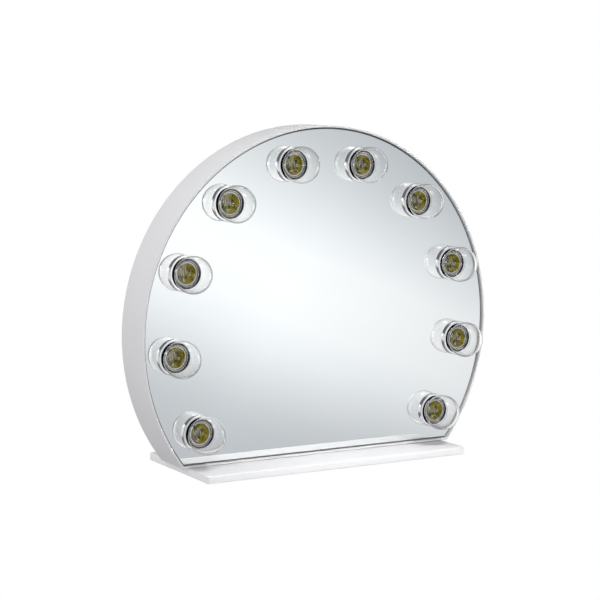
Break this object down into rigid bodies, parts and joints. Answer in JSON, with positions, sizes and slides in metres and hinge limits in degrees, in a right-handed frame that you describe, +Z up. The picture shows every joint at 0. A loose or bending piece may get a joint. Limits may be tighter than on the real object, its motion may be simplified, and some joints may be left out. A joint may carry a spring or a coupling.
{
  "type": "lighted vanity mirror",
  "caption": "Free-standing half-round vanity mirror in a deep white box frame on a flat base plate, with clear globe LED bulbs around the arc and a rear dimmer, switch and inlet.",
  "frame": {"origin": "middle of the base plate's footprint, on the surface the pads rest on", "axes": "+X across the mirror, to the viewer's right; +Y to the rear, away from the viewer; +Z up. The mirror faces -Y."},
  "size_m": [0.5, 0.15, 0.4168],
  "materials": {
    "frame_paint": "satin white powder coat",
    "mirror": "silvered float glass, polished edge",
    "board": "matt dark",
    "cover": "fine-textured white",
    "base_lacquer": "white lacquered board",
    "holder_chrome": "polished",
    "bulb_plastic": "white, semi-gloss",
    "bulb_glass": "clear",
    "phosphor": "olive-yellow phosphor under clear resin",
    "screw_steel": "zinc plated",
    "rubber": "matt",
    "black_plastic": "semi-matt black",
    "dimmer_metal": "nickel plated",
    "driver_plastic": "moulded",
    "wire": "soft PVC"
  },
  "bodies": {
    "frame": {"frame_shell": "frame_paint", "mirror_glass": "mirror", "backing_board": "board", "rear_cover": "cover", "base_plate": "base_lacquer", "lamp_holder_1": "holder_chrome", "lamp_holder_2": "holder_chrome", "lamp_holder_3": "holder_chrome", "lamp_holder_4": "holder_chrome", "lamp_holder_5": "holder_chrome", "lamp_holder_6": "holder_chrome", "lamp_holder_7": "holder_chrome", "lamp_holder_8": "holder_chrome", "lamp_holder_9": "holder_chrome", "lamp_holder_10": "holder_chrome", "rear_screw_1": "screw_steel", "rear_screw_2": "screw_steel", "rear_screw_3": "screw_steel", "rear_screw_4": "screw_steel", "base_screw_1": "screw_steel", "base_screw_2": "screw_steel", "foot_pad_1": "rubber", "foot_pad_2": "rubber", "dc_jack": "black_plastic", "switch_body": "black_plastic", "dimmer_body": "dimmer_metal", "driver_box": "driver_plastic", "wire_loom": "wire"},
    "bulb_1": {"bulb_globe_1": "bulb_glass", "led_disc_1": "phosphor", "bulb_base_1": "bulb_plastic"},
    "bulb_2": {"bulb_globe_2": "bulb_glass", "led_disc_2": "phosphor", "bulb_base_2": "bulb_plastic"},
    "bulb_3": {"bulb_globe_3": "bulb_glass", "led_disc_3": "phosphor", "bulb_base_3": "bulb_plastic"},
    "bulb_4": {"bulb_globe_4": "bulb_glass", "led_disc_4": "phosphor", "bulb_base_4": "bulb_plastic"},
    "bulb_5": {"bulb_globe_5": "bulb_glass", "led_disc_5": "phosphor", "bulb_base_5": "bulb_plastic"},
    "bulb_6": {"bulb_globe_6": "bulb_glass", "led_disc_6": "phosphor", "bulb_base_6": "bulb_plastic"},
    "bulb_7": {"bulb_globe_7": "bulb_glass", "led_disc_7": "phosphor", "bulb_base_7": "bulb_plastic"},
    "bulb_8": {"bulb_globe_8": "bulb_glass", "led_disc_8": "phosphor", "bulb_base_8": "bulb_plastic"},
    "bulb_9": {"bulb_globe_9": "bulb_glass", "led_disc_9": "phosphor", "bulb_base_9": "bulb_plastic"},
    "bulb_10": {"bulb_globe_10": "bulb_glass", "led_disc_10": "phosphor", "bulb_base_10": "bulb_plastic"},
    "dimmer": {"dimmer_knob": "black_plastic"},
    "rocker": {"switch_rocker": "black_plastic"}
  },
  "joints": [
    {"name": "bulb_1_turn", "type": "hinge", "parent": "frame", "child": "bulb_1", "pos_m": [-0.17311, -0.0248, 0.05113], "axis": [0, -1, 0], "range_deg": [0, 360]},
    {"name": "bulb_2_turn", "type": "hinge", "parent": "frame", "child": "bulb_2", "pos_m": [-0.20696, -0.0248, 0.14413], "axis": [0, -1, 0], "range_deg": [0, 360]},
    {"name": "bulb_3_turn", "type": "hinge", "parent": "frame", "child": "bulb_3", "pos_m": [-0.19404, -0.0248, 0.24226], "axis": [0, -1, 0], "range_deg": [0, 360]},
    {"name": "bulb_4_turn", "type": "hinge", "parent": "frame", "child": "bulb_4", "pos_m": [-0.13728, -0.0248, 0.32333], "axis": [0, -1, 0], "range_deg": [0, 360]},
    {"name": "bulb_5_turn", "type": "hinge", "parent": "frame", "child": "bulb_5", "pos_m": [-0.04949, -0.0248, 0.36903], "axis": [0, -1, 0], "range_deg": [0, 360]},
    {"name": "bulb_6_turn", "type": "hinge", "parent": "frame", "child": "bulb_6", "pos_m": [0.04949, -0.0248, 0.36903], "axis": [0, -1, 0], "range_deg": [0, 360]},
    {"name": "bulb_7_turn", "type": "hinge", "parent": "frame", "child": "bulb_7", "pos_m": [0.13728, -0.0248, 0.32333], "axis": [0, -1, 0], "range_deg": [0, 360]},
    {"name": "bulb_8_turn", "type": "hinge", "parent": "frame", "child": "bulb_8", "pos_m": [0.19404, -0.0248, 0.24226], "axis": [0, -1, 0], "range_deg": [0, 360]},
    {"name": "bulb_9_turn", "type": "hinge", "parent": "frame", "child": "bulb_9", "pos_m": [0.20696, -0.0248, 0.14413], "axis": [0, -1, 0], "range_deg": [0, 360]},
    {"name": "bulb_10_turn", "type": "hinge", "parent": "frame", "child": "bulb_10", "pos_m": [0.17311, -0.0248, 0.05113], "axis": [0, -1, 0], "range_deg": [0, 360]},
    {"name": "dimmer_turn", "type": "hinge", "parent": "frame", "child": "dimmer", "pos_m": [0.092, 0.026, 0.04], "axis": [0, -1, 0], "range_deg": [0, 270]},
    {"name": "rocker_tilt", "type": "hinge", "parent": "frame", "child": "rocker", "pos_m": [0.046, 0.0272, 0.04], "axis": [1, 0, 0], "range_deg": [0, 20]}
  ]
}
